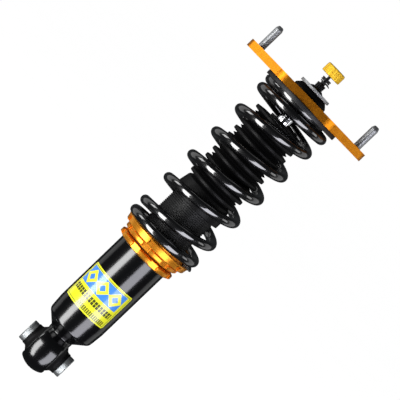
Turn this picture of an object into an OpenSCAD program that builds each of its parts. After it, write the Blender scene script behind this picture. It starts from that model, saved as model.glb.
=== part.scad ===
// Height-adjustable coilover: threaded damper in an eye bracket, coil spring and two-stud top mount.
// The origin is the centre of the lower eye. +Z runs up the damper and X runs along the eye's bore.

/* [Lower bracket] */
// Diameter of the ball-shaped eye
eye_d = 48.6; // [46:0.2:52]
// Width of the eye between its flat faces
eye_w = 28; // [27:0.5:32]
// Bore of the eye, which holds the rubber bush
eye_bore_d = 34; // [30:0.5:36]
// Diameter of the neck above the eye
neck_d = 25.4; // [22:0.2:27]
// Outer diameter of the bracket's sleeve
sleeve_d = 56.2; // [54:0.2:64]
// Height of the sleeve's top edge above the eye's centre
sleeve_top = 132; // [125:1:170]

/* [Eye bush] */
// Outer diameter of the steel inner sleeve
bush_d = 23.5; // [20:0.5:25]
// Length of the steel inner sleeve
bush_len = 54.4; // [50:0.2:64]
// Bore for the mounting bolt
bush_bore_d = 12.2; // [10:0.1:14.2]
// Length over the rubber, cones included
rubber_len = 42.2; // [38:0.2:46]

/* [Damper] */
// Thread diameter of the damper tube
tube_d = 50; // [48:0.5:52]
// Wall of the damper tube
tube_wall = 3; // [2.5:0.1:4]
// Length of the damper tube without its gland nut
tube_len = 148; // [146:1:170]
// Length of tube held in the sleeve
tube_engaged = 66; // [50:1:66]
// Diameter of the piston rod
rod_d = 14; // [12.5:0.5:16]
// Thread diameter of the rod's two ends
rod_thread_d = 10; // [9:0.5:10.5]
// Travel of the rod into the tube
stroke = 55; // [30:1:56]

/* [Spring] */
// Inner diameter of the coils
spring_id = 65.4; // [65:0.1:70]
// Diameter of the wire
wire_d = 10; // [8:0.5:11]
// Number of turns, closed ends included
spring_turns = 7.9; // [6:0.1:9]
// Fitted length between the two seats
spring_len = 185.3; // [170:0.1:230]

/* [Collars] */
// Height of each lock ring
lock_h = 6.6; // [6:0.1:10]
// Outer diameter of the lock rings
lock_d = 67; // [62:0.5:72]
// Outer diameter of the spring perch
perch_d = 78.5; // [74:0.5:90]
// Height of the spring perch under the spring
perch_h = 6.9; // [6:0.1:12]

/* [Top mount] */
// Radius of the plate's rounded ends, round each stud
plate_end_r = 11.4; // [8:0.1:16]
// Depth of the plate across its two flats
plate_depth = 84; // [70:1:100]
// Thickness of the plate
plate_t = 8.2; // [6:0.1:12]
// Distance between the two studs
stud_spacing = 131.4; // [120:0.2:140]
// Thread diameter of the studs
stud_d = 8; // [6:1:10]
// Length of the studs above the plate
stud_len = 27; // [20:1:40]
// Diameter of the upper spring seat
seat_d = 90; // [88:1:100]
// Thickness of the upper spring seat
seat_t = 4.6; // [3:0.1:8]

/* [Damping adjuster] */
// Diameter of the knob
knob_d = 21.6; // [18:0.2:26]
// Height of the knob
knob_h = 10; // [8:0.5:14]
// Diameter of the pin that carries the knob
pin_d = 3; // [2.5:0.1:3.4]

/* [Label] */
// Height of the label
label_h = 42; // [20:1:50]
// Angle of the label's left edge, counted from the front towards +X
label_left = -67; // [-90:1:-20]
// Angle of the label's right edge
label_right = 53; // [20:1:90]

/* [Hidden] */
$fn = 96;
eps = 0.01;

// Radial clearances
run_fit = 0.05;      // shafts, pistons and threads that turn or slide
spring_fit = 0.5;    // spigots inside the spring
soft_gap = 0.3;      // rubber round something that moves in it
ring_gap = 0.1;      // between a lock ring and the collar above it

// Bracket
eye_r = eye_d / 2;
neck_r = neck_d / 2;
sleeve_r = sleeve_d / 2;
neck_top = 16;
neck_fillet = 8;
fillet_sweep = 44;
cone_top = 32;
cone_top_r = sleeve_r - 1.2;
corner_round = 4;
taper_top = 48;
sleeve_edge = 0.8;
cavity_floor = 42;

// Rubber of the eye bush: a cone beside the eye, then a plain collar on the sleeve
bush_cone_h = 3.2;
bush_collar_t = 0.6;

// Damper tube and what closes it
tube_r = tube_d / 2;
bore_r = tube_r - tube_wall;
tube_z = sleeve_top - tube_engaged;
tube_top = tube_z + tube_len;
plug_h = 12;
o_ring_d = 1.7;
groove_w = 2.4;
gas_screw_r = 3;
gland_flange_t = 2;
gland_plug_h = 6;
gland_top = tube_top + gland_flange_t;
guide_h = 14;
guide_top = tube_top - gland_plug_h;
seal_h = 5.5;
seal_r = 12;
wiper_r = 11;
wiper_lip = 1.5;
wiper_h = 5;

// Rod and piston, stacked down from the rod guide
rod_r = rod_d / 2;
thread_r = rod_thread_d / 2;
meter_r = 2.55;
top_out_gap = 0.5;
rebound_stop_h = 6.5;
shim_count = 4;
shim_t = 0.3;
shim_gap = 0.05;
shim_r = bore_r - 5;
shim_step = 2.2;
shims_h = shim_count * (shim_t + shim_gap);
backing_t = 1;
piston_h = 12;
piston_gap = 0.5;
band_h = 7;
band_t = 1.5;
port_count = 6;
port_r = 2.2;
port_ring = bore_r - 8;
piston_nut_h = 6;
piston_nut_af = 17;
rebound_stop_z = guide_top - guide_h - top_out_gap - rebound_stop_h;
upper_shims_z = rebound_stop_z - backing_t - shims_h;
piston_z = upper_shims_z - piston_h;
lower_shims_z = piston_z - shims_h;
piston_nut_z = lower_shims_z - piston_nut_h;
rod_bottom = piston_nut_z - 2;
needle_proud = 1;

// Floating piston, which keeps the gas below the oil
gas_piston_h = 14;
oil_gap = 2.2;
gas_piston_z = rod_bottom - needle_proud - stroke - oil_gap - gas_piston_h;
gas_piston_wall = 3;

// Collars on the thread
collar_gap = 1.2;
perch_lock_z = sleeve_top + lock_h + collar_gap;
perch_z = perch_lock_z + lock_h + ring_gap;
spring_z = perch_z + perch_h;
spigot_h = 5;
lock_chamfer = 1.6;
lock_notches = 8;
lock_notch_w = 9.4;
lock_notch_depth = 2.2;
perch_notches = 6;
perch_notch_w = 6.7;
perch_notch_depth = 3;
perch_lip_t = 1.6;
perch_taper = 1.2;

// Spring: closed and ground ends, with the pitch of the free turns worked out from the fitted length
wire_r = wire_d / 2;
coil_r = spring_id / 2 + wire_r;
closed_pitch = wire_d + 0.2;
closed_turns = 1.15;
free_from = 1.7;
end_drop = -0.18 * wire_d;
ring_steps = 36;
wire_sides = 16;
start_angle = -15;
blend_turns = free_from - closed_turns;
closed_rise = end_drop + closed_pitch * closed_turns + closed_pitch * blend_turns / 2;
free_pitch = (spring_len / 2 - closed_rise) / (spring_turns / 2 - free_from + blend_turns / 2);

// Top mount, stacked up from the spring
seat_z = spring_z + spring_len;
plate_z = seat_z + seat_t;
plate_top = plate_z + plate_t;
flat_w = 50;
corner_r = 20;
plate_bore_r = 13;
recess_depth = 0.5;
lower_rubber_r = 16.3;
lower_rubber_h = 11.1;
upper_rubber_r = 19.8;
upper_rubber_top_r = 15.4;
upper_rubber_h = 6.5;
upper_rubber_rim = 1.9;
inner_sleeve_r = 8;
washer_r = 16.9;
washer_t = 2.4;
lower_washer_z = seat_z - lower_rubber_h - washer_t;
rod_shoulder = lower_washer_z;
dish_z = plate_top + upper_rubber_h;
dish_r = 18;
dish_t = 3;
dish_cup_r = 11.4;
dish_cup_wall = 1.8;
dish_cup_depth = 4;
dish_floor = 2;
nut_z = dish_z - dish_cup_depth + dish_floor;
nut_af = 16;
nut_h = 5.4;
nut_cone_h = 1.7;
rod_top = nut_z + nut_h + nut_cone_h + 5.7;
stud_nose = 3.8;
stud_tip_r = 0.6;
shank_d = stud_d + 1.2;

// Bump stop on the rod
bump_len = 42;
bump_r = 16.5;
bump_washer_t = 2;
snap_t = 1.4;
snap_groove = 0.7;
snap_r = rod_r + 1.6;

// Dust boot: its collar rides the rod below the top mount, and its skirt covers the tube's end
boot_top = lower_washer_z - 8.8;
bump_top = boot_top - 16.4;
boot_gap = 3.2;
boot_rib_r = spring_id / 2 - boot_gap;
boot_point_r = boot_rib_r - 2.6;
boot_valley_r = boot_rib_r - 6;
boot_wall = 1.5;
boot_collar_r = 13.4;
boot_collar_h = 4.9;
boot_ribs = 10;
rib_half = 1.7;
valley_drop = 3;
first_rib = boot_top - 5.7;
cuff_top = gland_top + 3.4;
skirt_z = gland_top - 15.6;
skirt_r = boot_rib_r - 0.2;
last_rib = cuff_top + valley_drop + 2.2;
rib_pitch = (first_rib - last_rib) / (boot_ribs - 1);

// Damping adjuster on the rod's end
stem_r = 3.5;
stem_neck_r = 2.65;
stem_depth = 6.6;
stem_rise = 3.2;
pin_r = pin_d / 2;
needle_play = 0.5;
collar_z = rod_top + stem_rise + 0.4;
collar_h = 3.3;
collar_r = 5.1;
clip_t = 1.2;
clip_r = 4.2;
clip_reach = 7.3;
clip_w = 5;
knob_z = collar_z + collar_h + 3.3;
knob_flutes = 12;
flute_r = 2.6;
flute_depth = 0.7;
knob_round = 1.8;
pin_seat = 6;
set_screw_r = 1.25;
set_screw_recess = 1.2;

// Label on the sleeve
label_z = 55.4;
label_t = 0.25;

// Points of an arc in the plane of a section
function arc(cx, cy, r, from, to, steps = 8) =
    [for (i = [0:steps]) let (a = from + (to - from) * i / steps) [cx + r * cos(a), cy + r * sin(a)]];

// A plain tube
module tube(outer_r, inner_r, h) {
    difference() {
        cylinder(r = outer_r, h = h);
        translate([0, 0, -eps]) cylinder(r = inner_r, h = h + 2 * eps);
    }
}

// An O-ring that lies in a groove and just clears the bore round it
module o_ring(bore, z) {
    translate([0, 0, z])
        rotate_extrude() translate([bore - run_fit - o_ring_d / 2, 0]) circle(d = o_ring_d, $fn = 32);
}

// The groove that an O-ring lies in
module o_ring_groove(bore, z) {
    translate([0, 0, z - groove_w / 2]) tube(bore + 1, bore - o_ring_d - 2 * run_fit, groove_w);
}

// A hexagonal prism, sized across its flats
module hexagon(af, h) {
    cylinder(d = af / cos(30), h = h, $fn = 6);
}

// Notches for a hook spanner, cut into the rim of a ring
module spanner_notches(r, count, w, depth, z, h, phase) {
    for (i = [0:count - 1])
        rotate([0, 0, phase + i * 360 / count])
            translate([r - depth, -w / 2, z]) cube([depth + 5, w, h]);
}

// A lock ring, chamfered at both ends
module lock_ring(z, phase) {
    difference() {
        translate([0, 0, z]) rotate_extrude() polygon([
            [tube_r + run_fit, 0], [lock_d / 2 - 2 * lock_chamfer, 0],
            [lock_d / 2, lock_chamfer], [lock_d / 2, lock_h - lock_chamfer],
            [lock_d / 2 - 2 * lock_chamfer, lock_h], [tube_r + run_fit, lock_h]]);
        spanner_notches(lock_d / 2, lock_notches, lock_notch_w, lock_notch_depth,
            z - eps, lock_h + 2 * eps, phase);
    }
}

// A stack of thin discs, each smaller than the last as it leaves the piston
module shim_stack(z, direction) {
    for (i = [0:shim_count - 1]) {
        level = direction > 0 ? i * (shim_t + shim_gap) + shim_gap : shims_h - (i + 1) * (shim_t + shim_gap);
        translate([0, 0, z + level]) tube(shim_r - i * shim_step, thread_r + run_fit, shim_t);
    }
}

module lower_bracket() {
    fillet_end = [neck_r + neck_fillet * (1 - cos(fillet_sweep)), neck_top + neck_fillet * sin(fillet_sweep)];
    color("#141518") difference() {
        union() {
            intersection() {
                sphere(r = eye_r);
                cube([eye_w, eye_d, eye_d], center = true);
            }
            rotate_extrude() polygon(concat(
                [[0, 0], [neck_r, 0]],
                arc(neck_r + neck_fillet, neck_top, neck_fillet, 180, 180 - fillet_sweep),
                arc(cone_top_r - corner_round, cone_top + corner_round / 2, corner_round, -45, 0),
                [[sleeve_r, taper_top], [sleeve_r, sleeve_top - sleeve_edge],
                 [sleeve_r - sleeve_edge, sleeve_top], [0, sleeve_top]]));
        }
        rotate([0, 90, 0]) cylinder(d = eye_bore_d, h = eye_w + 10, center = true);
        translate([0, 0, cavity_floor])
            cylinder(r = tube_r + run_fit, h = sleeve_top - cavity_floor + 1);
    }
}

module sleeve_label() {
    color("gold") translate([0, 0, label_z])
        rotate([0, 0, label_left - 90])
            rotate_extrude(angle = label_right - label_left)
                translate([sleeve_r + 0.02, 0]) square([label_t, label_h]);
}

module eye_bush_rubber() {
    rubber_r = eye_bore_d / 2 - run_fit;
    inner_r = bush_d / 2 + run_fit;
    color("#1b1b1c") rotate([0, 90, 0]) rotate_extrude() polygon([
        [inner_r, -rubber_len / 2], [inner_r + bush_collar_t, -rubber_len / 2],
        [inner_r + bush_collar_t, -eye_w / 2 - bush_cone_h], [rubber_r - 1, -eye_w / 2], [rubber_r, -eye_w / 2 + 1],
        [rubber_r, eye_w / 2 - 1], [rubber_r - 1, eye_w / 2], [inner_r + bush_collar_t, eye_w / 2 + bush_cone_h],
        [inner_r + bush_collar_t, rubber_len / 2], [inner_r, rubber_len / 2]]);
}

module eye_bush_sleeve() {
    color("silver") difference() {
        rotate([0, 90, 0]) cylinder(d = bush_d, h = bush_len, center = true);
        rotate([0, 90, 0]) cylinder(d = bush_bore_d, h = bush_len + 2, center = true);
    }
}

module bracket_lock_ring() {
    color("#c8860d") lock_ring(sleeve_top, 24.5 - 90);
}

module perch_lock_ring() {
    color("#d8950f") lock_ring(perch_lock_z, -8 - 90);
}

module spring_perch() {
    top_r = perch_d / 2;
    band_top = perch_h - perch_lip_t;
    color("#e0a010") difference() {
        translate([0, 0, perch_z]) rotate_extrude() polygon([
            [tube_r + run_fit, 0], [top_r - perch_taper - 0.6, 0], [top_r - perch_taper, 0.6],
            [top_r - 0.4, band_top], [top_r, band_top + 0.2], [top_r, perch_h - 0.4], [top_r - 0.4, perch_h],
            [spring_id / 2 - spring_fit, perch_h], [spring_id / 2 - spring_fit, perch_h + spigot_h - 1.5],
            [spring_id / 2 - spring_fit - 1.5, perch_h + spigot_h], [tube_r + run_fit, perch_h + spigot_h]]);
        spanner_notches(top_r, perch_notches, perch_notch_w, perch_notch_depth,
            perch_z - eps, band_top, -5 - 90);
    }
}

module damper_tube() {
    color("#1a1b1e") translate([0, 0, tube_z]) tube(tube_r, bore_r, tube_len);
}

module tube_plug() {
    color("#8f9296") difference() {
        translate([0, 0, tube_z]) cylinder(r = bore_r - run_fit, h = plug_h);
        o_ring_groove(bore_r, tube_z + plug_h / 2);
        translate([0, 0, tube_z - eps]) cylinder(r = gas_screw_r + run_fit, h = plug_h + 2 * eps);
    }
}

module plug_o_ring() {
    color("#202020") o_ring(bore_r, tube_z + plug_h / 2);
}

module gas_fill_screw() {
    color("#b08d57") difference() {
        union() {
            translate([0, 0, tube_z]) cylinder(r = gas_screw_r, h = plug_h - 2);
            translate([0, 0, tube_z - 3]) cylinder(r = gas_screw_r + 2, h = 3);
        }
        translate([0, 0, tube_z - 3 - eps]) hexagon(4, 3);
    }
}

module gland_nut() {
    color("#2a2c30") difference() {
        union() {
            translate([0, 0, guide_top]) cylinder(r = bore_r - run_fit, h = gland_plug_h);
            translate([0, 0, tube_top]) cylinder(r = tube_r - 0.4, h = gland_flange_t);
        }
        translate([0, 0, guide_top - eps]) cylinder(r = rod_r + soft_gap, h = gland_plug_h + gland_flange_t + 1);
        translate([0, 0, gland_top - wiper_h]) cylinder(r = wiper_r, h = wiper_h + 1);
    }
}

module rod_guide() {
    z = guide_top - guide_h;
    color("#9a9da2") difference() {
        translate([0, 0, z]) cylinder(r = bore_r - run_fit, h = guide_h);
        translate([0, 0, z - eps]) cylinder(r = rod_r + run_fit, h = guide_h + 2 * eps);
        translate([0, 0, guide_top - seal_h]) cylinder(r = seal_r + run_fit, h = seal_h + 1);
        o_ring_groove(bore_r, z + 4);
    }
}

module guide_o_ring() {
    color("#202020") o_ring(bore_r, guide_top - guide_h + 4);
}

module rod_seal() {
    color("#24303a") translate([0, 0, guide_top - seal_h]) tube(seal_r, rod_r + run_fit, seal_h - 0.1);
}

module dust_wiper() {
    z = gland_top - wiper_h;
    color("#303030") translate([0, 0, z]) rotate_extrude() polygon([
        [rod_r + run_fit, 0.1], [wiper_r - run_fit, 0.1], [wiper_r - run_fit, wiper_h],
        [rod_r + 1.6, wiper_h + wiper_lip], [rod_r + run_fit, wiper_h + wiper_lip]]);
}

// Height of the wire's centre above the spring's seat, t turns from the nearer end
function end_rise(t) =
    let (b = t - closed_turns)
    t < closed_turns ? end_drop + closed_pitch * t :
    t < free_from ? end_drop + closed_pitch * t + (free_pitch - closed_pitch) * b * b / (2 * blend_turns) :
    closed_rise + free_pitch * (b - blend_turns / 2);

function wire_height(t) = t < spring_turns / 2 ? end_rise(t) : spring_len - end_rise(spring_turns - t);

module coil_spring() {
    rings = ceil(spring_turns * ring_steps);
    points = [for (i = [0:rings], k = [0:wire_sides - 1])
        let (t = spring_turns * i / rings, a = start_angle + 360 * t, b = 360 * k / wire_sides,
             r = coil_r + wire_r * cos(b), z = wire_height(t) + wire_r * sin(b))
        [r * cos(a), r * sin(a), min(max(z, 0), spring_len)]];
    sides = [for (i = [0:rings - 1], k = [0:wire_sides - 1])
        let (n = (k + 1) % wire_sides, a = i * wire_sides, b = a + wire_sides)
        [a + k, b + k, b + n, a + n]];
    // Each end is a fan of triangles from the vertex furthest from the ground face
    top = wire_sides / 4;
    first_cap = [for (k = [1:wire_sides - 2]) [top, (top + k) % wire_sides, (top + k + 1) % wire_sides]];
    last = rings * wire_sides;
    low = 3 * wire_sides / 4;
    last_cap = [for (k = [1:wire_sides - 2])
        [last + low, last + (low + k + 1) % wire_sides, last + (low + k) % wire_sides]];
    color("#101114") translate([0, 0, spring_z])
        polyhedron(points = points, faces = concat(sides, first_cap, last_cap), convexity = 10);
}

module dust_boot() {
    ribs = [for (i = [0:boot_ribs - 1]) first_rib - i * rib_pitch];
    outer = concat(
        [[boot_collar_r, boot_top], [boot_collar_r, boot_top - 2.6], [boot_valley_r - 2, first_rib + 2.9]],
        [for (z = ribs) each [[boot_rib_r, z + rib_half], [boot_rib_r, z - rib_half],
            [boot_valley_r, z - valley_drop],
            if (z > last_rib + 1) each [[boot_point_r, z - rib_pitch / 2],
                [boot_valley_r, z - rib_pitch + valley_drop]]]],
        [[boot_point_r, cuff_top], [skirt_r, skirt_z + 8], [skirt_r, skirt_z]]);
    inner = concat(
        [[rod_r + soft_gap, boot_top], [rod_r + soft_gap, boot_top - boot_collar_h],
         [boot_valley_r - 3, first_rib + 1.3]],
        [for (z = ribs) each [[boot_rib_r - boot_wall, z + rib_half - 1.1],
            [boot_rib_r - boot_wall, z - rib_half + 1.1], [boot_valley_r - boot_wall, z - valley_drop],
            if (z > last_rib + 1) each [[boot_point_r - boot_wall, z - rib_pitch / 2],
                [boot_valley_r - boot_wall, z - rib_pitch + valley_drop]]]],
        [[tube_r + soft_gap, cuff_top - 0.6], [skirt_r - boot_wall, skirt_z + 8], [skirt_r - boot_wall, skirt_z]]);
    backwards = [for (i = [len(inner) - 1:-1:0]) inner[i]];
    color("#222326") rotate_extrude() polygon(concat(outer, backwards));
}

module floating_piston() {
    color("#a7abb0") difference() {
        translate([0, 0, gas_piston_z]) cylinder(r = bore_r - run_fit, h = gas_piston_h);
        translate([0, 0, gas_piston_z - eps])
            cylinder(r = bore_r - gas_piston_wall - o_ring_d, h = gas_piston_h - gas_piston_wall);
        o_ring_groove(bore_r, gas_piston_z + gas_piston_h / 2);
    }
}

module floating_piston_o_ring() {
    color("#202020") o_ring(bore_r, gas_piston_z + gas_piston_h / 2);
}

module piston_band() {
    color("#5b3a1e") translate([0, 0, piston_z + (piston_h - band_h) / 2])
        tube(bore_r - run_fit, bore_r - run_fit - band_t, band_h);
}

module piston() {
    groove_r = bore_r - band_t - 2 * run_fit;
    color("#7d8186") difference() {
        translate([0, 0, piston_z]) cylinder(r = bore_r - piston_gap, h = piston_h);
        translate([0, 0, piston_z + (piston_h - band_h) / 2 - run_fit])
            tube(bore_r + 1, groove_r, band_h + 2 * run_fit);
        translate([0, 0, piston_z - eps]) cylinder(r = thread_r + run_fit, h = piston_h + 2 * eps);
        for (i = [0:port_count - 1])
            rotate([0, 0, i * 360 / port_count])
                translate([port_ring, 0, piston_z - eps]) cylinder(r = port_r, h = piston_h + 2 * eps, $fn = 32);
    }
}

module compression_shims() {
    color("#b9bcc0") shim_stack(upper_shims_z, 1);
}

module rebound_shims() {
    color("#b9bcc0") shim_stack(lower_shims_z, -1);
}

module piston_nut() {
    color("#c9ccd0") difference() {
        translate([0, 0, piston_nut_z]) hexagon(piston_nut_af, piston_nut_h);
        translate([0, 0, piston_nut_z - eps]) cylinder(r = thread_r + run_fit, h = piston_nut_h + 2 * eps);
    }
}

module rebound_stop() {
    color("#6d6f33") translate([0, 0, rebound_stop_z]) tube(rod_r + 5, rod_r + run_fit, rebound_stop_h);
}

module piston_rod() {
    color("#d8dadd") difference() {
        union() {
            translate([0, 0, rod_bottom]) cylinder(r = thread_r, h = rod_top - rod_bottom);
            translate([0, 0, rebound_stop_z - backing_t])
                cylinder(r = rod_r, h = rod_shoulder - rebound_stop_z + backing_t);
        }
        translate([0, 0, rod_bottom - 1]) cylinder(r = meter_r + run_fit, h = rod_top - rod_bottom + 2, $fn = 48);
        translate([0, 0, rod_top - stem_depth]) cylinder(r = stem_r + run_fit, h = stem_depth + 1, $fn = 48);
        translate([0, 0, bump_top + bump_washer_t]) tube(rod_r + 1, rod_r - snap_groove, snap_t);
    }
}

module bump_stop() {
    waist = bump_r - 4;
    third = bump_len / 3;
    color("#d9c27a") translate([0, 0, bump_top - bump_len]) rotate_extrude() polygon(concat(
        [[rod_r + run_fit, 0], [bump_r - 6, 0], [bump_r - 2.5, 4], [bump_r - 2.5, third - 4]],
        [[waist, third], [bump_r, third + 4], [bump_r, 2 * third - 4], [waist, 2 * third]],
        [[bump_r, 2 * third + 4], [bump_r, bump_len], [rod_r + run_fit, bump_len]]));
}

module bump_stop_washer() {
    color("#b0b3b8") translate([0, 0, bump_top]) tube(bump_r, rod_r + run_fit, bump_washer_t);
}

module rod_snap_ring() {
    color("#8a8d92") translate([0, 0, bump_top + bump_washer_t + run_fit])
        tube(snap_r, rod_r - snap_groove + run_fit, snap_t - 2 * run_fit);
}

module lower_mount_washer() {
    color("#cfd1d4") translate([0, 0, lower_washer_z]) tube(washer_r, thread_r + run_fit, washer_t);
}

module lower_mount_rubber() {
    z = lower_washer_z + washer_t;
    bore = inner_sleeve_r + run_fit;
    color("#191a1b") rotate_extrude() polygon([
        [bore, z], [lower_rubber_r - 0.6, z], [lower_rubber_r, z + 0.6], [lower_rubber_r, plate_z],
        [plate_bore_r - run_fit, plate_z], [plate_bore_r - run_fit, plate_z + plate_t / 2 - 0.1],
        [bore, plate_z + plate_t / 2 - 0.1]]);
}

module mount_inner_sleeve() {
    z = lower_washer_z + washer_t;
    color("#b5b8bc") translate([0, 0, z]) tube(inner_sleeve_r, thread_r + run_fit, nut_z - dish_floor - z);
}

module upper_spring_seat() {
    bore = lower_rubber_r + soft_gap;
    spigot_r = spring_id / 2 - spring_fit;
    color("#26272a") rotate_extrude() polygon([
        [bore, seat_z - spigot_h], [spigot_r - 1.5, seat_z - spigot_h], [spigot_r, seat_z - spigot_h + 1.5],
        [spigot_r, seat_z], [seat_d / 2 - 0.4, seat_z], [seat_d / 2, seat_z + 0.4],
        [seat_d / 2, plate_z - 0.4], [seat_d / 2 - 0.4, plate_z], [bore, plate_z]]);
}

module top_plate() {
    color("#d9930f") difference() {
        translate([0, 0, plate_z]) hull() {
            for (x = [-1, 1]) {
                translate([x * stud_spacing / 2, 0, 0]) cylinder(r = plate_end_r, h = plate_t, $fn = 64);
                for (y = [-1, 1])
                    translate([x * flat_w / 2, y * (plate_depth / 2 - corner_r), 0])
                        cylinder(r = corner_r, h = plate_t, $fn = 64);
            }
        }
        translate([0, 0, plate_z - 1]) cylinder(r = plate_bore_r, h = plate_t + 2);
        translate([0, 0, plate_top - recess_depth]) cylinder(r = upper_rubber_r + soft_gap, h = 1);
        for (x = [-1, 1])
            translate([x * stud_spacing / 2, 0, plate_z - 1]) cylinder(d = shank_d + 2 * run_fit, h = plate_t + 2);
    }
}

module plate_studs() {
    color("#9b9ea3") for (x = [-1, 1]) translate([x * stud_spacing / 2, 0, plate_z])
        rotate_extrude() polygon([
            [0, 0], [shank_d / 2, 0], [shank_d / 2, plate_t], [stud_d / 2, plate_t],
            [stud_d / 2, plate_t + stud_len - stud_nose],
            [stud_tip_r * stud_d / 2, plate_t + stud_len], [0, plate_t + stud_len]]);
}

module upper_mount_rubber() {
    bore = inner_sleeve_r + run_fit;
    pocket_r = dish_cup_r + run_fit;
    pocket_z = dish_z - dish_cup_depth;
    color("#191a1b") rotate_extrude() polygon([
        [bore, plate_top - plate_t / 2 + 0.1], [plate_bore_r - run_fit, plate_top - plate_t / 2 + 0.1],
        [plate_bore_r - run_fit, plate_top - recess_depth], [upper_rubber_r, plate_top - recess_depth],
        [upper_rubber_r, plate_top + upper_rubber_rim], [upper_rubber_top_r, dish_z],
        [pocket_r, dish_z], [pocket_r, pocket_z], [bore, pocket_z]]);
}

module dished_washer() {
    color("#c4c7ca") rotate_extrude() polygon([
        [thread_r + run_fit, nut_z - dish_floor], [dish_cup_r, nut_z - dish_floor], [dish_cup_r, dish_z],
        [dish_r - 0.4, dish_z], [dish_r, dish_z + 0.4], [dish_r, dish_z + dish_t - 0.5],
        [dish_r - 0.5, dish_z + dish_t], [dish_cup_r - dish_cup_wall, dish_z + dish_t],
        [dish_cup_r - dish_cup_wall, nut_z], [thread_r + run_fit, nut_z]]);
}

module rod_nut() {
    color("#17181a") difference() {
        union() {
            translate([0, 0, nut_z]) hexagon(nut_af, nut_h);
            translate([0, 0, nut_z + nut_h])
                cylinder(r1 = nut_af / 2, r2 = thread_r + 0.5, h = nut_cone_h);
        }
        translate([0, 0, nut_z - eps]) cylinder(r = thread_r + run_fit, h = nut_h + nut_cone_h + 1);
    }
}

module adjuster_stem() {
    color("#1c1d1f") difference() {
        union() {
            translate([0, 0, rod_top - stem_depth]) cylinder(r = stem_r, h = stem_depth, $fn = 48);
            translate([0, 0, rod_top]) cylinder(r = stem_neck_r, h = stem_rise, $fn = 48);
        }
        translate([0, 0, rod_top - stem_depth - 1])
            cylinder(r = pin_r + run_fit, h = stem_depth + stem_rise + 2, $fn = 32);
    }
}

module adjuster_clip() {
    top = rod_top + stem_rise;
    color("#3a3b3d") difference() {
        union() {
            translate([0, 0, top - clip_t]) cylinder(r = clip_r, h = clip_t, $fn = 48);
            translate([0, clip_w / 2, top - clip_t]) rotate([90, 0, 0]) linear_extrude(clip_w)
                polygon([[1, 0], [clip_reach, -0.6], [clip_reach, -0.1], [clip_reach - 2.4, clip_t], [1, clip_t]]);
        }
        translate([0, 0, top - clip_t - 1]) cylinder(r = stem_neck_r + run_fit, h = clip_t + 2, $fn = 48);
    }
}

module adjuster_collar() {
    color("#17181a") translate([0, 0, collar_z]) rotate_extrude() polygon([
        [pin_r + run_fit, 0], [collar_r - 0.5, 0], [collar_r, 0.5],
        [collar_r, collar_h - 0.6], [collar_r - 0.6, collar_h], [pin_r + run_fit, collar_h]]);
}

module adjuster_pin() {
    z = rod_top - stem_depth + 0.2;
    color("#2b2c2e") translate([0, 0, z]) cylinder(r = pin_r, h = knob_z + pin_seat - z, $fn = 32);
}

module adjuster_knob() {
    r = knob_d / 2;
    color("#f0b414") difference() {
        translate([0, 0, knob_z]) rotate_extrude() polygon(concat(
            [[0, 0], [r - 0.5, 0], [r, 0.5]],
            arc(r - knob_round, knob_h - knob_round, knob_round, 0, 90),
            [[0, knob_h]]));
        for (i = [0:knob_flutes - 1])
            rotate([0, 0, i * 360 / knob_flutes])
                translate([r + flute_r - flute_depth, 0, knob_z - 1]) cylinder(r = flute_r, h = knob_h + 2, $fn = 32);
        translate([0, 0, knob_z - eps]) cylinder(r = pin_r + run_fit, h = pin_seat + run_fit, $fn = 32);
        translate([0, pin_r, knob_z + knob_h / 3]) rotate([-90, 0, 0])
            cylinder(r = set_screw_r + run_fit, h = r, $fn = 32);
    }
}

module knob_set_screw() {
    start = pin_r + run_fit;
    color("#222222") difference() {
        translate([0, start, knob_z + knob_h / 3]) rotate([-90, 0, 0])
            cylinder(r = set_screw_r, h = knob_d / 2 - set_screw_recess - start, $fn = 32);
        translate([0, knob_d / 2 - set_screw_recess - 1.5, knob_z + knob_h / 3]) rotate([-90, 0, 0])
            hexagon(1.3, 2);
    }
}

module metering_rod() {
    tip = 5;
    bottom = rod_bottom - needle_proud;
    top = rod_top - stem_depth - needle_play - 0.1;
    color("#c9a24a") union() {
        translate([0, 0, bottom]) cylinder(r1 = 0.6, r2 = meter_r, h = tip, $fn = 48);
        translate([0, 0, bottom + tip]) cylinder(r = meter_r, h = top - bottom - tip, $fn = 48);
    }
}

lower_bracket();
sleeve_label();
eye_bush_rubber();
eye_bush_sleeve();
bracket_lock_ring();
perch_lock_ring();
spring_perch();
damper_tube();
tube_plug();
plug_o_ring();
gas_fill_screw();
gland_nut();
rod_guide();
guide_o_ring();
rod_seal();
dust_wiper();
coil_spring();
dust_boot();
floating_piston();
floating_piston_o_ring();
piston_band();
piston();
compression_shims();
rebound_shims();
piston_nut();
rebound_stop();
piston_rod();
bump_stop();
bump_stop_washer();
rod_snap_ring();
lower_mount_washer();
lower_mount_rubber();
mount_inner_sleeve();
upper_spring_seat();
top_plate();
plate_studs();
upper_mount_rubber();
dished_washer();
rod_nut();
adjuster_stem();
adjuster_clip();
adjuster_collar();
adjuster_pin();
adjuster_knob();
knob_set_screw();
metering_rod();
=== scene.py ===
# %% [markdown]
# # A coilover, built piece by piece
#
# A coilover is a damper with a spring wound round it. This one screws into an eye bracket at the bottom,
# carries its spring on a threaded perch, hides its rod in a rubber bellows, and bolts to the car through
# a gold plate with two studs. The engineering model gives every size and every joint. Here we give each
# piece the shape, the edges and the finish that the eye sees. We begin by loading that model as a frame:
# it sets where everything goes, so no piece has to be fitted by eye.

# %% Load the frame
import math

import bmesh
import bpy
from mathutils import Matrix, Vector


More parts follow.
